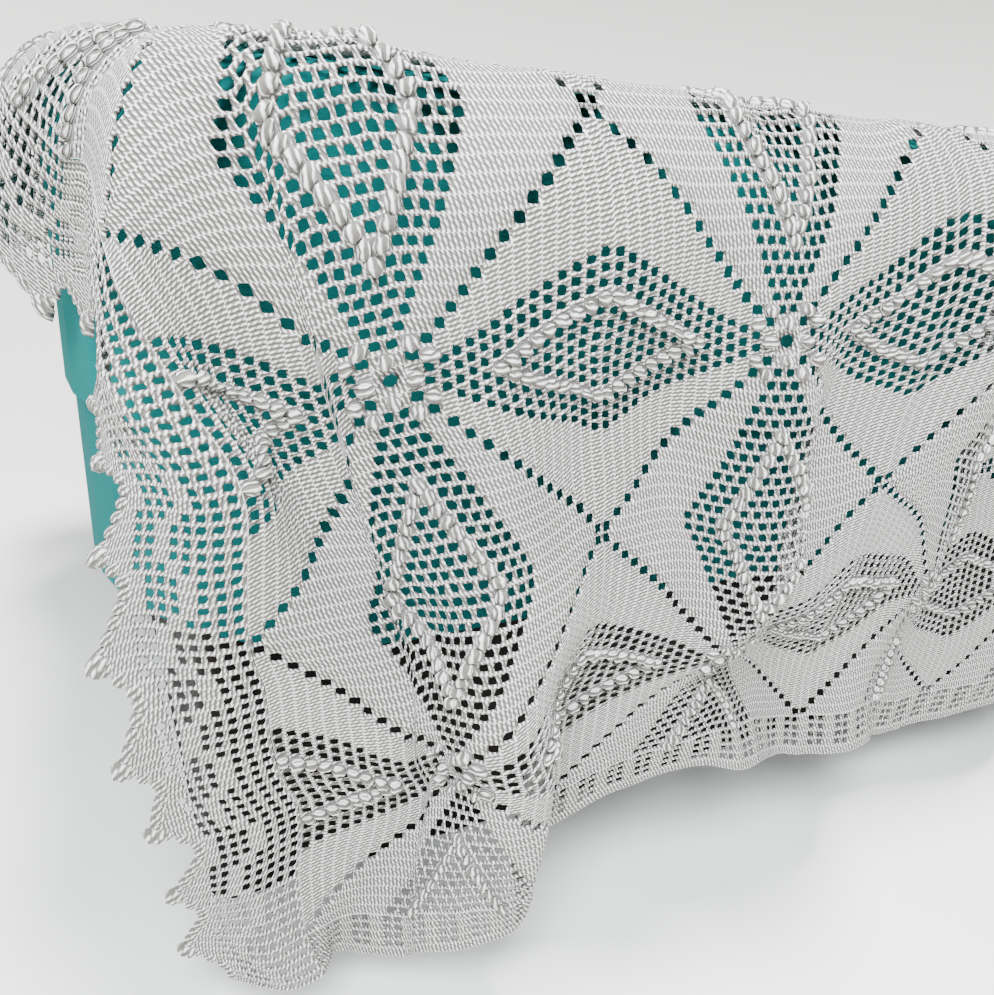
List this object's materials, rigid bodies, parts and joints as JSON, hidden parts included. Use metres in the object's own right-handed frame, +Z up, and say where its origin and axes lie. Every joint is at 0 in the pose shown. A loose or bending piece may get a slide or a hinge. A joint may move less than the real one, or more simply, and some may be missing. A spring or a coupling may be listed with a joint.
{
  "type": "crochet bedspread on a bed",
  "caption": "openwork cotton crochet bedspread of joined squares with toothed lace ends, draped in folds over a low plain bed on a recessed plinth",
  "frame": {"origin": "the middle of the whole part's box, on the floor under the plinth", "axes": "+X along the bed to the right as seen from the front, -Y towards the long side over which the bedspread hangs lowest, +Z up"},
  "size_m": [1.7582, 0.9272, 0.6031],
  "materials": {
    "field_of_squares": "matt cotton crochet",
    "lace_edging_left": "matt cotton crochet",
    "lace_edging_right": "matt cotton crochet",
    "border_front": "matt cotton crochet",
    "border_back": "matt cotton crochet",
    "mattress": "plain woven cover",
    "bed_base": "upholstery fabric",
    "plinth": "dark stained wood"
  },
  "bodies": {
    "root": {"field_of_squares": "field_of_squares", "lace_edging_left": "lace_edging_left", "lace_edging_right": "lace_edging_right", "border_front": "border_front", "border_back": "border_back", "mattress": "mattress", "bed_base": "bed_base", "plinth": "plinth"}
  },
  "joints": []
}
